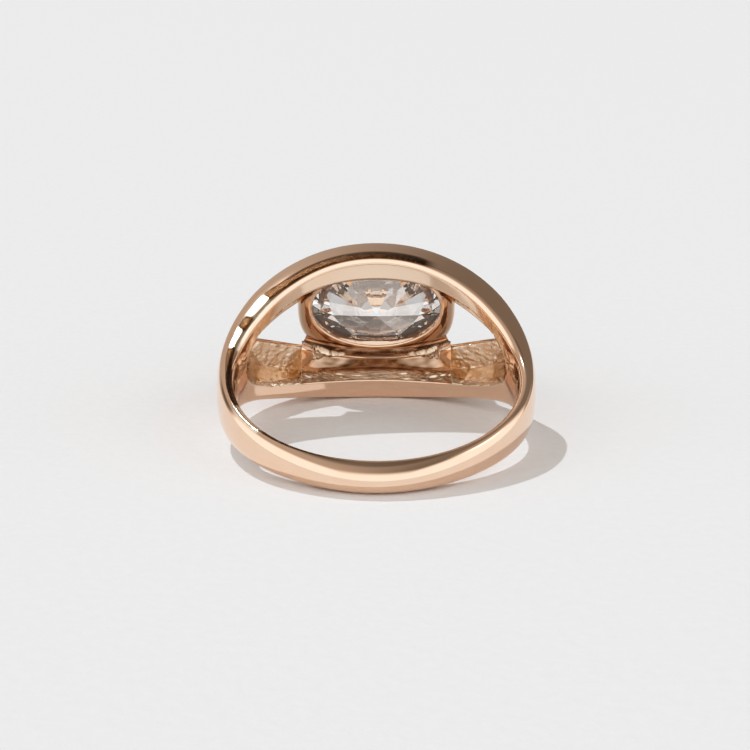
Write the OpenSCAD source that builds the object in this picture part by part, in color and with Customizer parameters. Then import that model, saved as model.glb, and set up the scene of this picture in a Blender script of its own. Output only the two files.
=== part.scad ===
// Oval ring: a split-shank finger ring of rose gold with an oval brilliant set east-west in a bezel.
// Ring frame: Z along the finger, +Y from the ring's centre to the stone, X across the finger.
// The finished ring is tipped onto its side, as it lies on a table.

/* [Finger hole] */
// Inside diameter of the ring, US size 6 1/2
finger_d = 16.9; // [16.5:0.1:17.3]
// Rounding of the edges where the finger goes in
edge_round = 0.45; // [0.35:0.05:0.5]

/* [Split shank] */
// Half length of the hollow between the two arms, on the finger side
hollow_x = 7.9; // [7.7:0.1:8.1]
// Half width of that hollow under the stone
hollow_z = 3.6; // [3.5:0.05:3.7]
// Thickness from the finger to the hollow's back wall
hollow_depth = 2.0; // [1.9:0.05:2.15]
// Where the split between the arms comes to its point, from the middle
split_tip_x = 7.7; // [7.5:0.05:7.75]
// Radius of the arms' edges along the split
split_edge_r = 12.7; // [12.4:0.1:13]
// Half length of the block that carries the bezel
block_x = 4.8; // [4.7:0.05:4.9]

/* [Bezel] */
// Height of the bezel's back rim over the ring's centre
rim_y = 11.4; // [11.3:0.05:11.5]
// Half length of the opening in the bezel's back
rim_x = 4.18; // [4.1:0.02:4.22]
// Half width of that opening
rim_z = 2.65; // [2.6:0.01:2.68]
// Thickness of the bezel's wall beside the stone
wall = 0.45; // [0.4:0.05:0.5]

/* [Stone] */
// Length of the stone
stone_x = 9.2; // [9.1:0.05:9.25]
// Width of the stone
stone_z = 6.2; // [6.1:0.05:6.25]
// Depth from girdle to culet
pavilion = 2.6; // [2.5:0.05:2.7]
// Height from girdle to table
crown = 0.9; // [0.8:0.05:1]
// Table's length as a share of the stone's
table_share = 0.58; // [0.54:0.01:0.62]

/* [Hidden] */
finger_r = finger_d / 2;
gold = [0.83, 0.62, 0.47];
stations = 84;
oval_sides = 48;
big = 20;
girdle_y = rim_y + 1.65;
girdle_t = 0.12;
slack = 0.03;

// Section of the shank by angle from the stone. side_z is half the width at the finger, crown_z and
// crown_t are the corner that the flank and the crown bend away from (height and thickness), and full
// is how far they reach towards it.
//       angle side_z crown_z crown_t full
shank = [[0,   5.08,  5.25,   3.5,    0.96],
         [15,  4.93,  5.10,   3.3,    0.96],
         [30,  4.45,  4.57,   2.95,   0.95],
         [45,  3.72,  3.75,   2.5,    0.93],
         [60,  2.85,  2.83,   1.92,   0.90],
         [75,  2.12,  2.06,   1.40,   0.85],
         [90,  1.70,  1.58,   1.05,   0.79],
         [115, 1.30,  1.16,   0.90,   0.72],
         [145, 1.02,  0.86,   1.10,   0.68],
         [180, 0.92,  0.74,   1.56,   0.67]];

// Smooth reading of column c of table t at a: a cubic through the rows.
function row_at(a, t, i = 0) = i + 2 >= len(t) || a < t[i + 1][0] ? i : row_at(a, t, i + 1);
function slope(t, c, i) =
    i == 0 || i == len(t) - 1 ? 0 : (t[i + 1][c] - t[i - 1][c]) / (t[i + 1][0] - t[i - 1][0]);
function read(a, t, c) =
    let (i = row_at(a, t), d = t[i + 1][0] - t[i][0], k = (a - t[i][0]) / d)
    t[i][c] * (1 + 2 * k) * (1 - k) * (1 - k) + t[i + 1][c] * k * k * (3 - 2 * k)
    + d * k * (1 - k) * (slope(t, c, i) * (1 - k) - slope(t, c, i + 1) * k);

// Upper half of the section at angle a from the stone, as [distance from the axis, height]: one
// bend from the middle line over the crown and the flank, the rounded edge, and a lip that reaches
// inside the finger hole, which is bored afterwards.
bend_steps = 8;
lip = 0.25;
function bend(t, a, b, c, d) =
    a * pow(1 - t, 3) + 3 * b * t * pow(1 - t, 2) + 3 * c * t * t * (1 - t) + d * t * t * t;
function half_section(a) =
    let (side_z = read(a, shank, 1), crown_z = read(a, shank, 2),
         crown_t = read(a, shank, 3), full = read(a, shank, 4))
    concat(
        [for (k = [bend_steps:-1:0]) let (t = k / bend_steps)
            [finger_r + bend(t, edge_round, edge_round + (crown_t - edge_round) * full, crown_t, crown_t),
             bend(t, side_z, side_z + (crown_z - side_z) * full, crown_z * full, 0)]],
        [for (q = [35, 65])
            [finger_r + edge_round * (1 - sin(q)), side_z - edge_round * (1 - cos(q))]],
        [[finger_r - lip, side_z - edge_round * 1.3]]);
function section(a) =
    let (up = half_section(a))
    concat(up, [for (i = [len(up) - 1:-1:1]) [up[i][0], -up[i][1]]]);

// Closed skin over a loop of loops, each with the same number of points.
function skin(rows, loop) =
    [for (i = [0:rows - 1], j = [0:loop - 1])
        let (i2 = (i + 1) % rows, j2 = (j + 1) % loop)
        [i * loop + j, i * loop + j2, i2 * loop + j2, i2 * loop + j]];
// Skin over a stack of loops with a lid on both ends.
function stack(rows, loop) = concat(
    [for (i = [0:rows - 2], j = [0:loop - 1]) let (j2 = (j + 1) % loop)
        [i * loop + j, i * loop + j2, (i + 1) * loop + j2, (i + 1) * loop + j]],
    [[for (j = [loop - 1:-1:0]) j]], [[for (j = [0:loop - 1]) (rows - 1) * loop + j]]);

module shank_blank() {
    loops = [for (i = [0:stations - 1]) let (a = 360 * i / stations, s = section(min(a, 360 - a)))
        [for (p = s) [-p[0] * sin(a), p[0] * cos(a), p[1]]]];
    polyhedron(points = [for (l = loops, p = l) p], faces = skin(stations, len(loops[0])));
}

// Oval of half axes x and z at height y, as a loop of points. A fullness of 2 is an ellipse, and
// above that the curve fills its corners more.
fullness = 2.3;
function bulge(v, n) = sign(v) * pow(abs(v), 2 / n);
function oval(y, x, z, n = 2) = [for (j = [0:oval_sides - 1]) let (q = 360 * (j + 0.5) / oval_sides)
    [x * bulge(cos(q), n), y, z * bulge(sin(q), n)]];
function flat_of(loop) = [for (p = loop) [p[0], p[2]]];

// Shapes drawn from the front are pushed along +Y, towards the stone.
module towards_stone(from, to) {
    translate([0, to, 0]) rotate([90, 0, 0]) linear_extrude(to - from) children();
}

// The two troughs, left and right of the block that carries the bezel.
module troughs() {
    intersection() {
        towards_stone(1, big) polygon(flat_of(oval(0, hollow_x, hollow_z, fullness)));
        cylinder(r = finger_r + hollow_depth, h = big, center = true, $fn = 96);
    }
}

// A loop whose y is a distance from the finger's axis, laid on the cylinder of that radius.
function bent(loop) = [for (p = loop) [p[0], sqrt(p[1] * p[1] - p[0] * p[0]), p[2]]];

// The split, a leaf between two arcs that meet in a point at each end. It opens outwards, because
// the arms are rounded down towards it: by radius, how much wider it is on either side.
//             radius more
split_rows = [[9.2,   0],
              [10.4,  0],
              [10.65, 0.1],
              [10.9,  0.3],
              [11.2,  0.62],
              [11.6,  1.2],
              [12.1,  2.1],
              [13,    4]];
function leaf(r, more) =
    let (off = sqrt(split_edge_r * split_edge_r - split_tip_x * split_tip_x) - more,
         tip = sqrt(split_edge_r * split_edge_r - off * off))
    [for (j = [0:oval_sides - 1]) let (q = 360 * (j + 0.5) / oval_sides, x = tip * cos(q))
        [x, r, sign(sin(q)) * (sqrt(split_edge_r * split_edge_r - x * x) - off)]];
module split() {
    polyhedron(points = [for (r = split_rows, p = bent(leaf(r[0], r[1]))) p],
               faces = stack(len(split_rows), oval_sides));
}

// Only what lies left and right of the block.
module beside_block() {
    intersection() {
        children();
        for (side = [-1, 1])
            translate([side * (block_x + big / 2), 0, 0]) cube([big, 2 * big, big], center = true);
    }
}

// The well from the finger up to the bezel: as wide as the hollow where it starts, and coved in like
// a bowl's side to a ridge. From there it narrows to the bezel's back rim, and what it leaves of the
// block on either side is a shoulder. Its rows lie on cylinders around the finger, like the arms.
//            radius  half length        half width         fullness
well_rows = [[7.9,    hollow_x,          hollow_z,          fullness],
             [8.9,    hollow_x - 0.08,   hollow_z - 0.04,   fullness],
             [9.3,    hollow_x - 0.35,   hollow_z - 0.1,    fullness],
             [9.6,    hollow_x - 0.9,    hollow_z - 0.24,   fullness],
             [9.85,   hollow_x - 1.6,    hollow_z - 0.40,   fullness],
             [10.1,   block_x + 0.95,    hollow_z - 0.56,   2.1],
             [10.25,  block_x + 0.8,     hollow_z - 0.65,   2],
             [11,     block_x + 0.6,     hollow_z - 0.76,   2],
             [13.5,   block_x + 0.5,     hollow_z - 0.8,    2]];
module well() {
    polyhedron(points = [for (r = well_rows, p = bent(oval(r[0], r[1], r[2], r[3]))) p],
               faces = stack(len(well_rows), oval_sides));
}

// As-cast pockets beside the bezel's foot, two on each arm. Each is the skin around three balls that
// lie side by side at the radius pocket_r: angle from the stone, height and radius of each ball.
pocket_balls = [[12.4, 2.8, 0.2], [17.1, 2.6, 0.34], [21, 2.25, 0.42]];
pocket_r = 10.45;
module pockets() {
    for (side = [-1, 1], arm = [-1, 1])
        hull() for (b = pocket_balls)
            translate([side * pocket_r * sin(b[0]), pocket_r * cos(b[0]), arm * b[1]])
                sphere(r = b[2], $fn = 24);
}

// The bezel: a cup with an open back. Its wall goes round from the back rim, out along the underside,
// up the outside, over the lip that holds the stone, and down past the seat. Each row is the height,
// the half length, the half width and the fullness.
girdle_x = stone_x / 2 + slack;
girdle_z = stone_z / 2 + slack;
outer_x = girdle_x + wall;
outer_z = girdle_z + wall;
bezel_rows = [[rim_y,        rim_x,              rim_z,              2],
              [rim_y - 0.07, rim_x + 0.07,       rim_z + 0.07,       2],
              [rim_y - 0.06, rim_x + 0.22,       rim_z + 0.2,        2],
              [rim_y + 0.1,  rim_x + 0.5,        rim_z + 0.5,        2.4],
              [rim_y + 0.35, outer_x - 0.2,      outer_z - 0.2,      2.8],
              [rim_y + 0.7,  outer_x + 0.06,     outer_z - 0.02,     2.8],
              [rim_y + 1.3,  outer_x + 0.03,     outer_z,            2.3],
              [rim_y + 2.0,  outer_x,            outer_z,            2],
              [rim_y + 2.2,  outer_x - 0.12,     outer_z - 0.12,     2],
              [rim_y + 2.26, girdle_x - 0.02,    girdle_z - 0.02,    2],
              [rim_y + 2.1,  girdle_x - 0.2,     girdle_z - 0.2,     2],
              [girdle_y + girdle_t + slack, girdle_x, girdle_z,      2],
              [girdle_y - slack, girdle_x,       girdle_z,           2],
              [girdle_y - 0.4, rim_x + 0.12,     rim_z + 0.12,       2],
              [rim_y + 0.25, rim_x,              rim_z,              2]];
module bezel() {
    polyhedron(points = [for (r = bezel_rows, p = oval(r[0], r[1], r[2], r[3])) p],
               faces = skin(len(bezel_rows), oval_sides));
}

// Width of the ring from side to side, at its widest station.
across = 2 * max([for (i = [0:stations / 2], p = half_section(360 * i / stations))
    p[0] * sin(360 * i / stations)]);

// The gold is one solid, held to the width that the sections give. The finger hole is bored last.
module ring_mount() {
    color(gold) rested() difference() {
        resize([across, 0, 0]) union() {
            difference() {
                shank_blank();
                beside_block() {
                    troughs();
                    split();
                }
                well();
                pockets();
            }
            bezel();
        }
        cylinder(r = finger_r, h = 2 * big, center = true, $fn = 180);
    }
}

// The ring lies on its side: the palm of the band and the wider flank of one arm touch the table,
// so the stone's end is raised by the angle lean. It is found by setting the ring down on the lowest
// point of its palm side and of its stone side, a few times over.
function leaned(p, l) = [p[0], p[1] * cos(l) - p[2] * sin(l), p[1] * sin(l) + p[2] * cos(l)];
outline = concat(
    [for (a = [0:2.5:180], p = section(a)) [0, p[0] * cos(a), p[1]]],
    [for (r = bezel_rows) [0, r[0], -r[2]]],
    [[0, girdle_y + girdle_t + crown, -stone_z * table_share / 2]]);
function lowest(points, l) =
    let (z = min([for (p = points) leaned(p, l)[2]])) [for (p = points) if (leaned(p, l)[2] == z) p][0];
function set_down(l, times) = times == 0 ? l :
    let (palm = lowest([for (p = outline) if (p[1] < 0) p], l),
         arm = lowest([for (p = outline) if (p[1] > 0) p], l))
    set_down(atan((palm[2] - arm[2]) / (arm[1] - palm[1])), times - 1);
lean = set_down(12, 4);
resting = [for (p = outline) leaned(p, lean)];
drop = min([for (p = resting) p[2]]);
// The middle of its box is over the origin.
front = min([for (p = resting) p[1]]);
back = max([for (p = resting) p[1]]);
module rested() {
    translate([0, -(front + back) / 2, -drop]) rotate([lean, 0, 0]) children();
}

// Oval brilliant, an eightfold cut stretched along X. Corners go round from the long axis in steps
// of 45 degrees, or half a step further on: the table's corners, the stars' points, the girdle's
// corners on the mains and between them, and the points where the lower halves meet the mains.
star_r = 0.80;
lower_r = 0.26;
corner_r = 1 / cos(11.25);
function at(q, r, y) = [stone_x / 2 * r * cos(q), y, stone_z / 2 * r * sin(q)];
function crown_y(u) = crown * (corner_r - u) / (corner_r - table_share);
function pavilion_y(u) = -pavilion * (1 - u / corner_r);
function turned(offset, r, y) = [for (k = [0:7]) at(45 * k + offset, r, y)];
stone_points = concat(
    turned(0, table_share, crown),
    turned(22.5, star_r, crown_y(star_r * cos(22.5))),
    turned(0, corner_r, 0), turned(22.5, corner_r, 0),
    turned(0, corner_r, -girdle_t), turned(22.5, corner_r, -girdle_t),
    turned(22.5, lower_r, pavilion_y(lower_r * cos(22.5)) - girdle_t),
    [[0, -pavilion - girdle_t, 0]]);
table = 0; star = 8; top_main = 16; top_half = 24; low_main = 32; low_half = 40; lower = 48; culet = 56;
stone_faces = concat(
    [[for (k = [0:7]) table + k]],
    [for (k = [0:7]) let (n = (k + 1) % 8) each [
        [table + k, star + k, table + n],
        [table + n, star + k, top_main + n, star + n],
        [star + k, top_main + k, top_half + k],
        [star + k, top_half + k, top_main + n],
        [low_main + k, low_half + k, top_half + k, top_main + k],
        [low_half + k, low_main + n, top_main + n, top_half + k],
        [lower + k, low_half + k, low_main + k],
        [lower + k, low_main + n, low_half + k],
        [culet, lower + n, low_main + n, lower + k]]]);
module oval_stone() {
    color([0.93, 0.96, 1]) rested() translate([0, girdle_y + girdle_t, 0]) intersection() {
        polyhedron(points = stone_points, faces = stone_faces);
        towards_stone(-2 * pavilion, 2 * crown)
            polygon(flat_of(oval(0, stone_x / 2, stone_z / 2)));
    }
}

ring_mount();
oval_stone();
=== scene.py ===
import bmesh
import bpy
import numpy as np
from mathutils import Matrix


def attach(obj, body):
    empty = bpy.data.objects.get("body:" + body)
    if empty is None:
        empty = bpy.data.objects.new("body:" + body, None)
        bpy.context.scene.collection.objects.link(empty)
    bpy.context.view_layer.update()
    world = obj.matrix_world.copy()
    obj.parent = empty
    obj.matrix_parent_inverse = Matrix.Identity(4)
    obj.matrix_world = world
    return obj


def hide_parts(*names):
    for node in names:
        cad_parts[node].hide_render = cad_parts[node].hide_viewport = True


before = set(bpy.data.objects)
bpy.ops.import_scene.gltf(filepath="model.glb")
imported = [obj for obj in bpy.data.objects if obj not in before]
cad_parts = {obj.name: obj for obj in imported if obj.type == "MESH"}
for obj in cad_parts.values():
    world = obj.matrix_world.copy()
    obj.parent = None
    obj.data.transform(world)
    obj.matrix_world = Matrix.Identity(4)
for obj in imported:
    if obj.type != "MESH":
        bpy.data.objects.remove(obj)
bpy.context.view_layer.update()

# Ring mount: the band with its two arms, cast in rose gold in one piece and polished, except in the
# hollow between the arms on the finger side, which is left as it came from the mould. The bezel is
# soldered between the arms. All of it is one piece of metal and it lies loose on the table.
MM = 0.001
FINGER_R = 8.45                                     # the finger's hole
EDGE_ROUND = 0.45                                   # rounding between the finger's side and the flank
HOLLOW_X, HOLLOW_Z, HOLLOW_FULL = 7.9, 3.6, 2.3     # the hollow's mouth: half length, half width, fullness
HOLLOW_BACK = 10.45                                 # radius of the troughs' back walls
LEDGE_R, LEDGE_DEEP = 9.5, 0.2                      # step in the troughs' floor: radius at the block, depth
SPLIT_TIP, SPLIT_R = 7.7, 12.7                      # the split: half length, and radius of its two arcs
BLOCK_X = 4.8                                       # end of the solid block that carries the bezel
BLEND_X, BLEND = 4.5, 0.3                           # where and over what length the split takes over
RIDGE_R, COVE_R = 10.25, 9.6                        # the well's ridge, and where its cove turns into a ledge
LEAN = np.radians(13.1326)                          # how far the finger's axis leans as the ring lies
RING_CENTRE = np.array([0.0, -2.16942, 2.92501])    # middle of the finger's hole
# Section of the shank by angle from the stone, in mm: half width at the finger, height and thickness of
# the corner that flank and crown bend away from, and how far they reach towards it.
#                  angle side_z crown_z crown_t full
SHANK = np.array([[0,   5.08,  5.25,   3.5,    0.96],
                  [15,  4.93,  5.10,   3.3,    0.96],
                  [30,  4.45,  4.57,   2.95,   0.95],
                  [45,  3.72,  3.75,   2.5,    0.93],
                  [60,  2.85,  2.83,   1.92,   0.90],
                  [75,  2.12,  2.06,   1.40,   0.85],
                  [90,  1.70,  1.58,   1.05,   0.79],
                  [115, 1.30,  1.16,   0.90,   0.72],
                  [145, 1.02,  0.86,   1.10,   0.68],
                  [180, 0.92,  0.74,   1.56,   0.67]])
# The arms are rounded down to the split: by height over its edge, how far out the metal reaches.
#                  over   radius
ROUNDED = np.array([[0,    10.52],
                    [0.04, 10.62],
                    [0.12, 10.74],
                    [0.3,  10.95],
                    [0.62, 11.22],
                    [1.2,  11.6],
                    [2.1,  12.1],
                    [4,    13]])
# The well from the finger up to the bezel, by radius: half length, half width and fullness.
WELL = np.array([[8.45,  HOLLOW_X, HOLLOW_Z, 2.3],
                 [8.9,   7.82,     3.56,     2.3],
                 [9.3,   7.55,     3.50,     2.3],
                 [9.6,   7.0,      3.36,     2.3],
                 [9.85,  6.3,      3.20,     2.3],
                 [10.1,  5.75,     3.04,     2.1],
                 [10.25, 5.6,      2.95,     2.0],
                 [11,    5.4,      2.84,     2.0],
                 [13.5,  5.3,      2.8,      2.0]])


def read(table, at, column):
    """Cubic through a table's rows: each row's slope is that between its two neighbours, flat at the ends."""
    key, value = table[:, 0], table[:, column]
    slope = np.zeros(len(key))
    slope[1:-1] = (value[2:] - value[:-2]) / (key[2:] - key[:-2])
    at = np.clip(at, key[0], key[-1])
    i = np.clip(np.searchsorted(key, at, side="right") - 1, 0, len(key) - 2)
    d = key[i + 1] - key[i]
    k = (at - key[i]) / d
    return (value[i] * (1 + 2 * k) * (1 - k) ** 2 + value[i + 1] * k * k * (3 - 2 * k)
            + d * k * (1 - k) * (slope[i] * (1 - k) - slope[i + 1] * k))


def oval_height(x, half_x, half_z, full):
    """Height of a superellipse over its long axis at x: half_z times the full-th root of 1 less x / half_x
    to the power full."""
    return half_z * np.clip(1 - np.clip(np.abs(x) / half_x, 0, 1) ** full, 0, 1) ** (1 / full)


def split_height(x):
    """Half height of the split at x, a leaf between two arcs: the root of their radius squared less x
    squared, less what that is at the leaf's points. It is negative beyond them."""
    return np.sqrt(np.clip(SPLIT_R ** 2 - x * x, 0, None)) - np.sqrt(SPLIT_R ** 2 - SPLIT_TIP ** 2)


def smooth(t):
    """Soft step from 0 to 1: 3 t squared minus 2 t cubed."""
    t = np.clip(t, 0, 1)
    return t * t * (3 - 2 * t)


def waves(p, size, seed, count=24):
    """Irregular swell of the given size: a sum of sines along chance directions, about -1 to 1."""
    rng = np.random.default_rng(seed)
    way = rng.normal(size=(count, 3))
    way *= (2 * np.pi / size * rng.uniform(0.6, 1.6, count) / np.linalg.norm(way, axis=1))[:, None]
    return np.sin(p @ way.T + rng.uniform(0, 2 * np.pi, count)).sum(-1) * np.sqrt(2 / count) / 1.6


def rested(x, a, h):
    """From the ring's own axes (across, to the stone, along the finger) in mm to the table's, in metres."""
    leaning = np.stack([x, a * np.cos(LEAN) - h * np.sin(LEAN), a * np.sin(LEAN) + h * np.cos(LEAN)], -1)
    return leaning * MM + RING_CENTRE * MM


def grid_faces(rows, columns):
    """Quads of a grid of points whose rows and columns both run round to where they started."""
    i, j = np.meshgrid(np.arange(rows), np.arange(columns), indexing="ij")
    i2, j2 = (i + 1) % rows, (j + 1) % columns
    corners = [i * columns + j, i2 * columns + j, i2 * columns + j2, i * columns + j2]
    return np.stack(corners, -1).reshape(-1, 4)


def half_columns():
    """Columns of the right half. Up to the hollow's end each is a slice at constant x, with the block's
    side wall between well and trough (share 0 and 1), and from there the slices turn into radial ones. They
    stand closest along the pockets, at the block's wall and where the split and the hollow run out."""
    well = np.concatenate([np.linspace(0, 1.6, 12)[:-1], np.linspace(1.6, 4.2, 46)[:-1],
                           np.linspace(4.2, 4.7, 12)])
    jump = np.array([[4.75, 0], [4.78, 0], [4.79, 0],
                     [BLOCK_X, 0.1], [BLOCK_X, 0.35], [BLOCK_X, 0.65], [BLOCK_X, 0.9],
                     [4.81, 1], [4.82, 1], [4.86, 1]])
    trough = np.concatenate([np.linspace(4.92, 7.3, 36),
                             [7.38, 7.45, 7.5, 7.54, 7.57, 7.6, 7.63, 7.66, 7.69],
                             HOLLOW_X - np.array([0.18, 0.14, 0.1, 0.07, 0.045, 0.025, 0.01, 0.003, 0])])
    x = np.concatenate([well, jump[:, 0], trough])
    share = np.concatenate([well * 0, jump[:, 1], trough * 0 + 1])
    start = np.degrees(np.arcsin(HOLLOW_X / FINGER_R))
    angle = start + (180 - start) * np.linspace(0, 1, 85)[1:]
    return (np.concatenate([x, angle * 0 + HOLLOW_X]), np.concatenate([share, angle * 0 + 1]),
            np.concatenate([x * 0, angle - start]))


def softened(r, h, passes):
    """Rows averaged with their neighbours, a quarter of each, so that corners come out rounded."""
    for _ in range(passes):
        for v in (r, h):
            v[1:-1] = v[1:-1] / 2 + v[:-2] / 4 + v[2:] / 4
    return r, h


def section(a, t):
    """Radius and height at angle a, t of the way over flank and crown: a cubic Bezier from the rounded edge
    to the crown's middle, whose two inner points lie the share full of the way to the corner."""
    side_z, crown_z, crown_t, full = (read(SHANK, a, c) for c in (1, 2, 3, 4))
    b0, b1, b2, b3 = (1 - t) ** 3, 3 * t * (1 - t) ** 2, 3 * t * t * (1 - t), t ** 3
    radius = (FINGER_R + b0 * EDGE_ROUND + b1 * (EDGE_ROUND + (crown_t - EDGE_ROUND) * full)
              + (b2 + b3) * crown_t)
    height = b0 * side_z + b1 * (side_z + (crown_z - side_z) * full) + b2 * crown_z * full
    return radius, height


def shank_mesh():
    """Points, faces and finish of band and arms: a half section in (distance from the axis, height) for
    every column, carried round the ring and mirrored in the ring's middle plane."""
    x, share, turn = half_columns()
    # The slices stand as they do at the hollow's end, and turn radial over the next 42 degrees.
    fade = 1 - smooth(turn / 42)

    def angle_at(r):
        """Angle from the stone where a column crosses radius r, in degrees."""
        lean_in = np.degrees(np.arcsin(x / r)) - np.degrees(np.arcsin(x / FINGER_R))
        return np.degrees(np.arcsin(x / FINGER_R)) + turn + lean_in * fade

    def settle(shape):
        """Radius and height of a row whose section depends on the angle that its own radius gives: six
        rounds from one to the other bring them together."""
        r, h = shape(angle_at(np.full_like(x, FINGER_R)))
        for _ in range(6):
            r, h = shape(angle_at(r))
        return r, h

    hollow = oval_height(x, HOLLOW_X, HOLLOW_Z, HOLLOW_FULL) * (turn == 0)
    split = np.clip(split_height(x), 0, None) * (turn == 0)
    # The metal's outer edge along the opening: the well's in the block, and beyond it the split's.
    block_end = smooth((x - BLEND_X) / BLEND)
    edge = (split + (1 - block_end) * (oval_height(x, *WELL[-1, 1:]) - split)) * (turn == 0)
    # The outer side: rows on the finger's side from the hollow's lip, round the edge, and on flank and crown.
    finger_rows, edge_rows, flank_rows = 6, 11, 32
    edge_end = finger_rows + edge_rows
    rows = []
    for t in np.linspace(0, 1, finger_rows + 2)[1:-1]:
        rows.append(settle(lambda a: (FINGER_R + a * 0,
                                      hollow + t * (read(SHANK, a, 1) - EDGE_ROUND - hollow))))
    for b in np.radians(np.linspace(0, 90, edge_rows)):
        rows.append(settle(lambda a: (FINGER_R + EDGE_ROUND * (1 - np.cos(b)) + a * 0,
                                      read(SHANK, a, 1) - EDGE_ROUND * (1 - np.sin(b)))))

    def bend(a, k):
        """Row k of flank and crown, which end where the section has come down to the opening's edge, found by
        halving. Along the split no point is further out than ROUNDED allows by its height over the leaf."""
        low, high = a * 0, a * 0 + 1
        for _ in range(24):
            middle = (low + high) / 2
            above = section(a, middle)[1] > edge
            low, high = np.where(above, middle, low), np.where(above, high, middle)
        r, h = section(a, k * high)
        reach = np.interp(h - split_height(r * np.sin(np.radians(a))), ROUNDED[:, 0], ROUNDED[:, 1])
        return r + block_end * (np.minimum(r, reach) - r), h

    for k in np.linspace(0, 1, flank_rows + 1)[1:]:
        rows.append(settle(lambda a: bend(a, k)))
    r, h = (np.array([row[i] for row in rows]) for i in (0, 1))
    r[edge_end:], h[edge_end:] = softened(r[edge_end:], h[edge_end:], 4)
    # The inner side, from the opening's outer edge back to the finger. For a trough: the split's wall, the
    # back wall, and the floor, which a ledge steps down from a line that runs aslant. For the well: its
    # wall down to the ridge, its cove and its ledge. Both have as many rows.
    split_rows, back_rows, floor_rows = 4, 28, 30
    wall_rows, cove_rows, ledge_rows = 26, 14, 22
    back_end = split_rows + back_rows
    out = r[-1]
    step = lambda n: np.linspace(0, 1, n + 1)[1:, None]
    ledge = LEDGE_R - (x - BLOCK_X) / 3
    deep = LEDGE_DEEP * smooth((7.75 - x) / 0.35)
    back = np.minimum(HOLLOW_BACK, out - 0.01)
    trough_r = np.concatenate([out + step(split_rows) * (back - out), back + step(back_rows) * 0,
                               back + step(floor_rows) * (FINGER_R - back)])
    floor = hollow + deep * smooth((trough_r - ledge) / 0.1)
    trough_h = np.concatenate([split + step(split_rows) * 0,
                               split + step(back_rows) * (hollow + deep - split), floor[back_end:]])
    well_r = np.concatenate([out + step(wall_rows) * (RIDGE_R - out),
                             RIDGE_R + step(cove_rows) * (COVE_R - RIDGE_R) + x * 0,
                             COVE_R + step(ledge_rows) * (FINGER_R - COVE_R) + x * 0])
    well_h = oval_height(x, read(WELL, well_r, 1), read(WELL, well_r, 2), read(WELL, well_r, 3))
    in_r = well_r + share * (trough_r - well_r)
    in_h = np.where(share == 1, trough_h, well_h + share * (trough_h - well_h))
    in_h *= turn == 0
    # Beyond the hollow the inner side lies flat in the middle plane. It isn't softened, and gets no faces.
    in_plane = 1e-9
    flat = in_h < in_plane
    soft_r, soft_h = softened(in_r.copy(), in_h.copy(), 2)
    in_r, in_h = np.where(flat, in_r, soft_r), np.where(flat, 0, soft_h)
    r, h = np.concatenate([in_r, r]), np.concatenate([in_h, h])
    count = len(in_r)
    # As-cast skin: the troughs' back walls and floors, the lip along the finger, the well's ledge, the
    # block's side walls and the pockets at the bezel's foot. A trace of it dulls the upper arm's finger side,
    # where its paler colour is painted light.
    row = np.arange(len(r))[:, None]
    outer = row - count
    inner_side = (turn == 0) * (row < count)
    inside = (share == 1) * inner_side * (h > 1e-6) * smooth((HOLLOW_X - 0.02 - x) / 0.1)
    wall = inside * (row >= split_rows - 1) * (row <= back_end)
    bed = inside * (row > back_end)
    lip = bed * (1 - smooth((r - 8.75) / 0.25))
    well = inner_side * (share == 0)
    jamb = inner_side * (share > 0) * (share < 1)
    shelf = well * smooth((r - 8.5) / 0.1) * (1 - smooth((r - 9.2) / 0.3))
    satin_and_painted_light = (outer >= 0) * (1 - smooth((outer - finger_rows) / 5)) * smooth(hollow / 0.8)
    # Where no polishing wheel reaches in the well, the gold is painted dark brown: old polish, and painted
    # shade in these recesses. It lies in the cove, above the ridge and along the finger, less towards the
    # well's ends.
    in_cove = 0.88 * smooth((r - 9.3) / 0.3) * (1 - smooth((r - 10.1) / 0.1))
    above_ridge = smooth((r - 10.34) / 0.12)
    at_finger = 0.5 * (1 - smooth((r - 8.5) / 0.2))
    cove_shade_and_polish = well * (in_cove + above_ridge + at_finger) * (1 - 0.5 * smooth((x - 3.2) / 1.2))
    # Rows of the outer side, counted from the hollow, between which the seam and its worn places lie.
    seam_rows, worn_rows = (11, 17), (8, 19)
    angle = angle_at(r)
    sides = []
    for side in (1, -1):
        px = side * r * np.sin(np.radians(angle))
        pa = r * np.cos(np.radians(angle))
        for up in (1, -1):
            place = np.stack([px, pa, up * h], -1)
            coarse, fine = waves(place * [0.4, 1, 1], 0.45, 3), waves(place, 0.2, 4)
            # A pocket starts 1.95 mm off the middle, is about 2 mm long and widens outwards.
            along = (np.abs(px) - 1.95) / 2.05
            across = np.abs(r - 10.5 + 0.06 * along) - 0.02 - 0.3 * along + 0.04 * waves(place, 0.5, 7)
            pocket = (smooth(along / 0.12) * (1 - smooth((along - 0.97) / 0.05))
                      * (1 - smooth(across / 0.09)) * (share == 0) * (row < count))
            streak = waves(place * [0.3, 1, 1], 0.35, 8)
            pitted = wall * (0.55 - 0.45 * up)    # all of it on the lower arm, a tenth on the upper one
            h_out = (h + pitted * 0.02 * fine + bed * 0.012 * coarse + lip * (0.05 * coarse + 0.03 * fine)
                     + np.maximum(shelf, lip) * 0.045 * streak
                     + pocket * (0.34 + 0.05 * waves(place, 0.5, 5)))
            r_out = r + pitted * (0.03 * coarse + 0.015 * fine) - pocket * 0.04 * waves(place, 0.5, 6)
            grow = np.clip(r_out / r, 0.9, 1.1)
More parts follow.
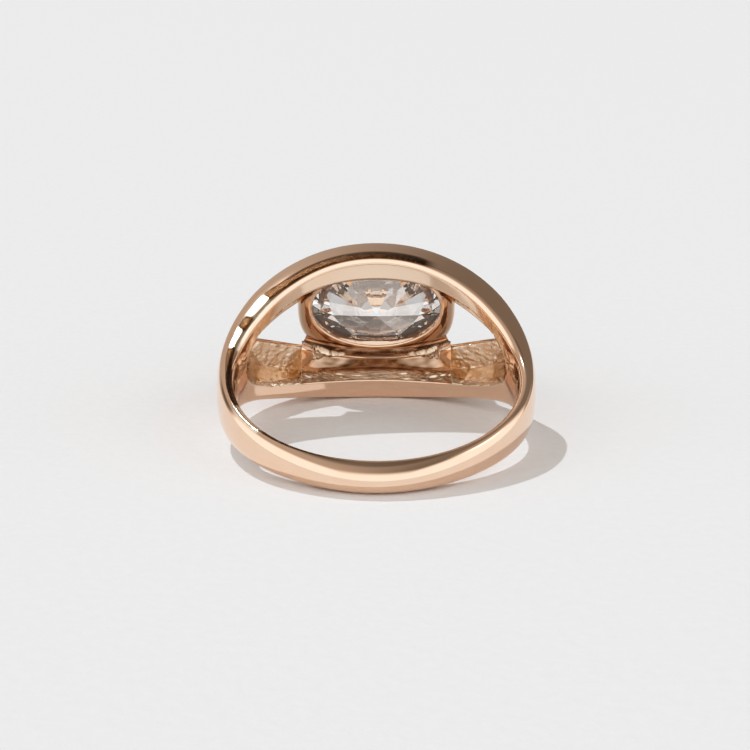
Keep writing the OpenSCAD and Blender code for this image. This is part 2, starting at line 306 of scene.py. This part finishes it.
            # The seam where flank and rounded edge meet, on the side away from the table, is only filed; its
            # dark brown is a painted dark reflection. On the left it lies two rows further out from 50 to 75
            # degrees and two further in from 95 to 150, and the wheel has cut it away at three places, which
            # shine with the lamp's highlight and
            # a paler colour painted as highlight: angle and half length, in degrees.
            left = px < 0
            out_by = 2 * (smooth((angle - 35) / 15) - smooth((angle - 75) / 15)
                          - smooth((angle - 80) / 15) + smooth((angle - 150) / 20)) * left
            cut = left * sum(smooth((half + 1.5 - np.abs(angle - middle)) / 3)
                             for middle, half in ((53.5, 5.5), (70.5, 5), (122, 10)))
            on_seam = (smooth((outer - seam_rows[0] - out_by) / 2)
                       * (1 - smooth((outer - seam_rows[1] - out_by) / 2)))
            runs_out = np.where(left, 1 - smooth((angle - 135) / 45), 1 - smooth((angle - 14) / 12))
            seam_dark_reflection = (up > 0) * on_seam * runs_out * (1 - cut)
            bare_painted_highlight = (cut * (up > 0) * smooth((outer - worn_rows[0]) / 4)
                    * (1 - smooth((outer - worn_rows[1]) / 4)))
            rough = np.maximum.reduce([pitted, lip * 0.8, shelf * 0.4, bed * 0.25, jamb * 0.4, pocket * 0.8,
                                        bare_painted_highlight * 0.45, satin_and_painted_light * 0.17 * (up > 0)])
            # How dark each point is painted: painted shade in the coves and on the block's side walls, with
            # old polish, and the seam's painted dark reflection.
            dark = np.maximum.reduce([cove_shade_and_polish * (0.85 + 0.15 * coarse) * (1 - pocket), 0.5 * jamb, 2 * seam_dark_reflection])
            sides.append((px * grow, pa * grow, up * h_out, rough, dark))
    # Each half of the section is a loop of its own, carried round the right half and back over the left.
    right_up, right_down, left_up, left_down = sides
    points, faces, value = [], [], []
    for right, left in ((right_up, left_up), (right_down, left_down)):
        px, pa, ph, rough, dark = (np.concatenate([a, b[:, ::-1]], axis=1) for a, b in zip(right, left))
        quads = grid_faces(*px.shape)
        quads = quads[(np.abs(ph.ravel())[quads] > in_plane).any(1)]
        faces.append(quads + len(points) * px.size)
        points.append(rested(px, pa, ph).reshape(-1, 3))
        value.append(np.stack([rough.ravel(), dark.ravel()], -1))
    return np.concatenate(points), np.concatenate(faces), np.concatenate(value)


# Bezel profile, from inside the opening over its rim, out along the underside, up the outside and over
# the lip that holds the stone: height over the ring's centre and oval, in mm, and how dark it is painted:
# painted shade on the underside, with old polish.
#                  height  half_x half_z full  dark
BEZEL = np.array([[11.62,  4.18,  2.65,  2,    0],      # inside the opening
                  [11.47,  4.18,  2.65,  2,    0],
                  [11.41,  4.18,  2.65,  2,    0],
                  [11.37,  4.19,  2.66,  2,    0],      # rim
                  [11.34,  4.22,  2.69,  2,    0],
                  [11.325, 4.26,  2.73,  2,    0],
                  [11.325, 4.31,  2.78,  2.02, 0],
                  [11.335, 4.37,  2.83,  2.08, 0.3],
                  [11.36,  4.45,  2.90,  2.15, 0.7],    # underside
                  [11.39,  4.60,  3.04,  2.3,  0.7],
                  [11.43,  4.74,  3.17,  2.45, 0.7],
                  [11.49,  4.86,  3.29,  2.6,  0.7],
                  [11.57,  4.95,  3.38,  2.7,  0.6],
                  [11.69,  5.03,  3.45,  2.8,  0.5],
                  [11.84,  5.09,  3.51,  2.85, 0.4],
                  [12.02,  5.13,  3.55,  2.8,  0.3],    # outside
                  [12.2,   5.14,  3.57,  2.7,  0.1],
                  [12.4,   5.13,  3.57,  2.5,  0],
                  [12.7,   5.11,  3.58,  2.3,  0],
                  [13.1,   5.09,  3.58,  2.1,  0],
                  [13.4,   5.08,  3.58,  2,    0],
                  [13.52,  5.06,  3.56,  2,    0],      # lip
                  [13.6,   5.00,  3.50,  2,    0],
                  [13.645, 4.90,  3.40,  2,    0],
                  [13.66,  4.75,  3.25,  2,    0],
                  [13.65,  4.64,  3.14,  2,    0],
                  [13.62,  4.58,  3.08,  2,    0],
                  [13.56,  4.50,  3.0,   2,    0],
                  [13.5,   4.43,  2.93,  2,    0],
                  [13.35,  4.53,  3.03,  2,    0],      # groove for the stone's edge, and its seat
                  [13.2,   4.63,  3.13,  2,    0],
                  [13.02,  4.63,  3.13,  2,    0],
                  [12.65,  4.30,  2.77,  2,    0],
                  [12.1,   4.23,  2.70,  2,    0],
                  [11.8,   4.18,  2.65,  2,    0]])


def bezel_mesh():
    """Ovals stacked along the bezel's profile, which runs round to where it started."""
    q = np.linspace(0, 2 * np.pi, 193)[:-1]
    bulge = lambda v: np.sign(v) * np.abs(v) ** (2 / BEZEL[:, 3:4])
    points = rested(BEZEL[:, 1:2] * bulge(np.cos(q)), BEZEL[:, :1] + q * 0, BEZEL[:, 2:3] * bulge(np.sin(q)))
    dark = np.repeat(BEZEL[:, 4], len(q))
    return points.reshape(-1, 3), grid_faces(len(BEZEL), len(q)), np.stack([dark * 0, dark], -1)


def make_piece(name, parts, material):
    """One mesh from (points, faces, values) arrays, doubles merged, normals outwards, shaded smooth. The
    values are how much of the as-cast skin is left at each point, with painted light that pales some places,
    and how dark it is painted: old polish, painted shade and a painted dark reflection."""
    start = np.cumsum([0] + [len(p[0]) for p in parts])
    points = np.concatenate([p[0] for p in parts])
    used, faces = np.unique(np.concatenate([p[1] + s for p, s in zip(parts, start)]), return_inverse=True)
    mesh = bpy.data.meshes.new(name)
    mesh.from_pydata(points[used], [], faces.reshape(-1, 4))
    for column, kind in enumerate(("cast_and_painted_light", "dark")):
        value = np.concatenate([p[2][:, column] for p in parts])[used]
        finish = mesh.attributes.new(kind, "FLOAT", "POINT")
        finish.data.foreach_set("value", value.astype(np.float32))
    work = bmesh.new()
    work.from_mesh(mesh)
    bmesh.ops.remove_doubles(work, verts=work.verts, dist=1e-8)
    bmesh.ops.dissolve_degenerate(work, edges=work.edges, dist=1e-9)
    bmesh.ops.recalc_face_normals(work, faces=work.faces)
    work.to_mesh(mesh)
    work.free()
    mesh.shade_smooth()
    mesh.materials.append(material)
    piece = bpy.data.objects.new(name, mesh)
    bpy.context.scene.collection.objects.link(piece)
    return piece


def linear(colour):
    """An sRGB hex colour as linear red, green, blue and alpha."""
    s = np.array([int(colour[i:i + 2], 16) for i in (1, 3, 5)]) / 255
    return (*np.where(s <= 0.04045, s / 12.92, ((s + 0.055) / 1.055) ** 2.4), 1.0)


def new_material(name):
    """A node material that has no nodes yet, and its tree."""
    material = bpy.data.materials.new(name)
    material.use_nodes = True
    material.node_tree.nodes.clear()
    return material, material.node_tree


def add(tree, kind, settings=None, links=None):
    """Adds a node: settings set its properties or sockets, links join (node, output) to its sockets. A Mix
    node's sockets go by number: 0 is the factor, 2 and 3 are its numbers, 6 and 7 its colours."""
    node = tree.nodes.new(kind)
    for name, value in (settings or {}).items():
        if isinstance(name, int) or name in node.inputs.keys():
            node.inputs[name].default_value = value
        else:
            setattr(node, name, value)
    for name, (source, output) in (links or {}).items():
        tree.links.new(source.outputs[output], node.inputs[name])
    return node


# Rose gold, 18 carat, cast and polished by hand: a mirror with faint polishing waves. In the hollow the
# as-cast skin stays: pitted by the mould's grain of about 0.1 mm, duller and paler, with bright high spots;
# the paler colour is partly the skin's own and partly painted light. It is also painted light on the upper
# arm's finger side and a painted highlight at the seam's three bare places. In the coves, on the block's
# side walls and under the bezel the gold is painted dark brown: painted shade, with old polish. Along the
# filed seam dark brown grains with glints between them are a painted dark reflection. A scale of 900 to
# the metre gives polishing waves of about 1 mm, and 5200 grains of 0.1 to 0.2 mm.
gold, tree = new_material("rose_gold_polished_and_cast")
where = add(tree, "ShaderNodeTexCoord")
cast_and_lightened = add(tree, "ShaderNodeAttribute", {"attribute_name": "cast_and_painted_light"})
dark = add(tree, "ShaderNodeAttribute", {"attribute_name": "dark"})
swirl = add(tree, "ShaderNodeTexNoise", {"Scale": 900.0, "Detail": 2.0}, {"Vector": (where, "Object")})
grit = add(tree, "ShaderNodeTexNoise", {"Scale": 5200.0, "Detail": 4.0, "Roughness": 0.65},
           {"Vector": (where, "Object")})
seam_rough_and_dark = add(tree, "ShaderNodeMapRange", {"From Min": 1.0, "From Max": 1.6}, {"Value": (dark, "Fac")})
loose = add(tree, "ShaderNodeMath", {"operation": "MAXIMUM"}, {0: (cast_and_lightened, "Fac"), 1: (seam_rough_and_dark, 0)})
rough = add(tree, "ShaderNodeMapRange", {"To Min": 0.07, "To Max": 0.24}, {"Value": (loose, 0)})
tone = add(tree, "ShaderNodeMix", {"data_type": "RGBA", 6: linear("#F6D0B3"), 7: linear("#FAD8BE")},
           {0: (swirl, "Fac")})
# The paler colour: partly the as-cast skin's own, partly painted light on the troughs' floors and the upper
# arm's finger side, and a painted highlight at the seam's three bare places.
paler_share = add(tree, "ShaderNodeMapRange", {"From Max": 0.25}, {"Value": (cast_and_lightened, "Fac")})
pale_skin_painted_light = add(tree, "ShaderNodeMix", {"data_type": "RGBA", 7: linear("#F6E0C8")}, {0: (paler_share, 0), 6: (tone, 2)})
# Along the seam, dark brown grains between glints: a painted dark reflection.
dark_grain_share = add(tree, "ShaderNodeMapRange", {"From Min": 0.54, "From Max": 0.6, "To Min": 1.0, "To Max": 0.0},
            {"Value": (grit, "Fac")})
painted_dark_grains = add(tree, "ShaderNodeMath", {"operation": "MULTIPLY"}, {0: (seam_rough_and_dark, 0), 1: (dark_grain_share, 0)})
# Painted dark brown: painted shade in the coves, on the block's side walls and under the bezel, with old
# polish, and along the seam.
painted_darkening = add(tree, "ShaderNodeMapRange", {"To Max": 0.97}, {"Value": (dark, "Fac")})
painted_dark_brown = add(tree, "ShaderNodeMix", {"data_type": "RGBA", 7: linear("#64421F")}, {0: (painted_darkening, 0), 6: (pale_skin_painted_light, 2)})
with_painted_grains = add(tree, "ShaderNodeMix", {"data_type": "RGBA", 7: linear("#4A2F18")},
           {0: (painted_dark_grains, 0), 6: (painted_dark_brown, 2)})
wave = add(tree, "ShaderNodeBump", {"Strength": 0.12, "Distance": 0.00002}, {"Height": (swirl, "Fac")})
coarse = add(tree, "ShaderNodeMapRange", {"From Min": 0.15}, {"Value": (loose, 0)})
depth = add(tree, "ShaderNodeMath", {"operation": "MULTIPLY"}, {0: (grit, "Fac"), 1: (coarse, 0)})
pits = add(tree, "ShaderNodeBump", {"Strength": 1.0, "Distance": 0.00005},
           {"Height": (depth, 0), "Normal": (wave, 0)})
shine = add(tree, "ShaderNodeBsdfPrincipled", {"Metallic": 1.0},
            {"Base Color": (with_painted_grains, 2), "Roughness": (rough, 0), "Normal": (pits, 0)})
add(tree, "ShaderNodeOutputMaterial", {}, {"Surface": (shine, 0)})

mount = make_piece("ring_mount_gold", [shank_mesh(), bezel_mesh()], gold)
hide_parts("ring_mount")
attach(mount, "root")

# Oval brilliant: a colourless diamond, sawn and polished to flat facets. It is clear and bends light
# strongly, so the eye sees hard-edged patches of what is round it. It sits in the bezel's seat.
diamond, tree = new_material("diamond_polished_facets")
clear = add(tree, "ShaderNodeBsdfPrincipled", {"Base Color": linear("#FFFFFF"), "Roughness": 0.0,
                                               "IOR": 2.417, "Transmission Weight": 1.0})
# Light that has been thrown about inside more than five times ends in a painted glow, a dim warm grey, not in
# black.
path = add(tree, "ShaderNodeLightPath")
often = add(tree, "ShaderNodeMath", {"operation": "GREATER_THAN", 1: 5.0}, {0: (path, "Ray Depth")})
painted_glow = add(tree, "ShaderNodeEmission", {"Color": linear("#BDB2AC"), "Strength": 0.2})
spent = add(tree, "ShaderNodeMixShader", {}, {0: (often, 0), 1: (clear, 0), 2: (painted_glow, 0)})
add(tree, "ShaderNodeOutputMaterial", {}, {"Surface": (spent, 0)})
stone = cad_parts["oval_stone"]
stone.data.materials.clear()
stone.data.materials.append(diamond)

# Table: a wide sheet of off-white drawing paper, pressed with felt while it was wet, which leaves a fine
# soft grain. A scale of 1500 to the metre gives grain of about 0.7 mm. The ring lies on it.
paper, tree = new_material("drawing_paper_felt_side")
where = add(tree, "ShaderNodeTexCoord")
felt = add(tree, "ShaderNodeTexNoise", {"Scale": 1500.0, "Detail": 3.0}, {"Vector": (where, "Object")})
shade = add(tree, "ShaderNodeMix", {"data_type": "RGBA", 6: linear("#E4E4E4"), 7: linear("#EAEAEA")},
            {0: (felt, "Fac")})
tooth = add(tree, "ShaderNodeBump", {"Strength": 0.9, "Distance": 0.00006}, {"Height": (felt, "Fac")})
sheet = add(tree, "ShaderNodeBsdfPrincipled", {"Roughness": 0.9, "Specular IOR Level": 0.1},
            {"Base Color": (shade, 2), "Normal": (tooth, 0)})
add(tree, "ShaderNodeOutputMaterial", {}, {"Surface": (sheet, 0)})
mesh = bpy.data.meshes.new("table_paper")
mesh.from_pydata([(-1.5, -1.5, 0), (1.5, -1.5, 0), (1.5, 1.5, 0), (-1.5, 1.5, 0)], [], [(0, 1, 2, 3)])
mesh.materials.append(paper)
table = bpy.data.objects.new("table_paper", mesh)
bpy.context.scene.collection.objects.link(table)

# Light: a small hard lamp from behind on the left, and a soft room. Its panels in front and at the sides
# are bright, and the wall behind is dim and lighter on the left, as the gold shows it.
SUN_AZIMUTH, SUN_HEIGHT = np.radians(37), np.radians(56.5)
sun = bpy.data.lights.new("window_light", "SUN")
sun.energy = 1.46
sun.color = linear("#F6FAFF")[:3]
sun.angle = np.radians(1.2)
lamp = bpy.data.objects.new("window_light", sun)
lamp.rotation_mode = "XYZ"
lamp.rotation_euler = (np.pi / 2 - SUN_HEIGHT, 0, np.pi + SUN_AZIMUTH)
bpy.context.scene.collection.objects.link(lamp)

world = bpy.data.worlds.new("studio_room")
world.use_nodes = True
tree = world.node_tree
tree.nodes.clear()
way = add(tree, "ShaderNodeTexCoord")
parts = add(tree, "ShaderNodeSeparateXYZ", {}, {0: (way, "Generated")})
behind = add(tree, "ShaderNodeMapRange", {"From Min": -0.35, "From Max": 0.35, "To Min": 0.43, "To Max": 0.18,
                                          "interpolation_type": "SMOOTHSTEP"}, {"Value": (parts, "X")})
front = add(tree, "ShaderNodeMapRange", {"From Min": -0.3, "From Max": -0.75,
                                         "interpolation_type": "SMOOTHSTEP"}, {"Value": (parts, "Y")})
beside = add(tree, "ShaderNodeMath", {"operation": "ABSOLUTE"}, {0: (parts, "X")})
ahead = add(tree, "ShaderNodeMath", {"operation": "MULTIPLY_ADD", 1: -0.6}, {0: (parts, "Y"), 2: (beside, 0)})
sides = add(tree, "ShaderNodeMapRange", {"From Min": 0.5, "From Max": 0.8,
                                         "interpolation_type": "SMOOTHSTEP"}, {"Value": (ahead, 0)})
panels = add(tree, "ShaderNodeMath", {"operation": "MAXIMUM"}, {0: (front, 0), 1: (sides, 0)})
strength = add(tree, "ShaderNodeMix", {3: 1.15}, {0: (panels, 0), 2: (behind, 0)})
# Round spots in the room: direction, how wide they reach, and how many times as bright as the rest they are.
room_spots = (((0.6, 0.05, 0.8), 0.3, 2.2),        # a pane of a roof window, high on the right
              ((-0.8, 0.52, 0.3), 0.26, 0.3),      # a dark stand, behind on the left
              ((0.0, 0.36, 0.93), 0.28, 0.5),      # a dim patch of ceiling
              ((0.82, 0.55, 0.16), 0.24, 1.9))     # a white card, low behind on the right
for place, reach, gain in room_spots:
    away = add(tree, "ShaderNodeVectorMath", {"operation": "DISTANCE", 1: place}, {0: (way, "Generated")})
    spot = add(tree, "ShaderNodeMapRange", {"From Min": reach / 2, "From Max": reach, "To Min": gain},
               {"Value": (away, "Value")})
    strength = add(tree, "ShaderNodeMath", {"operation": "MULTIPLY"}, {0: (strength, 0), 1: (spot, 0)})
warm = add(tree, "ShaderNodeMix", {"data_type": "RGBA", 6: linear("#FFF5EB"), 7: linear("#FFFFFF")},
           {0: (panels, 0)})
glow = add(tree, "ShaderNodeBackground", {}, {"Color": (warm, 2), "Strength": (strength, 0)})
add(tree, "ShaderNodeOutputWorld", {}, {"Surface": (glow, 0)})
bpy.context.scene.world = world
bpy.context.scene.view_settings.view_transform = "Standard"

# The camera's tone curve: it lifts what is bright, so gold in full light goes pale, and sinks what is dark.
bpy.context.scene.view_settings.use_curve_mapping = True
tones = bpy.context.scene.view_settings.curve_mapping
for seen, shown in ((0.03, 0.024), (0.12, 0.125), (0.3, 0.335), (0.5, 0.56), (0.7, 0.76), (0.85, 0.885)):
    tones.curves[3].points.new(seen, shown)
tones.update()

# Camera: looks from the palm's side over the band into the hollow, 29 degrees above the ring's plane.
CAMERA_RISE = np.radians(29.09) - LEAN
FOCAL_PIXELS, IMAGE_PIXELS, CAMERA_FAR = 1844.7, 750, 110.0
OFF_RIGHT, OFF_UP = 0.08, -1.274
forward = np.array([0, np.cos(CAMERA_RISE), -np.sin(CAMERA_RISE)])
upward = np.array([0, np.sin(CAMERA_RISE), np.cos(CAMERA_RISE)])
eye = RING_CENTRE - OFF_RIGHT * np.array([1, 0, 0]) - OFF_UP * upward - CAMERA_FAR * forward
view = bpy.data.cameras.new("photo_view")
view.sensor_width = 36.0
view.lens = 36.0 * FOCAL_PIXELS / IMAGE_PIXELS
view.clip_start, view.clip_end = 0.005, 10.0
camera = bpy.data.objects.new("photo_view", view)
camera.location = eye * MM
camera.rotation_euler = (np.pi / 2 - CAMERA_RISE, 0, 0)
bpy.context.scene.collection.objects.link(camera)
bpy.context.scene.camera = camera
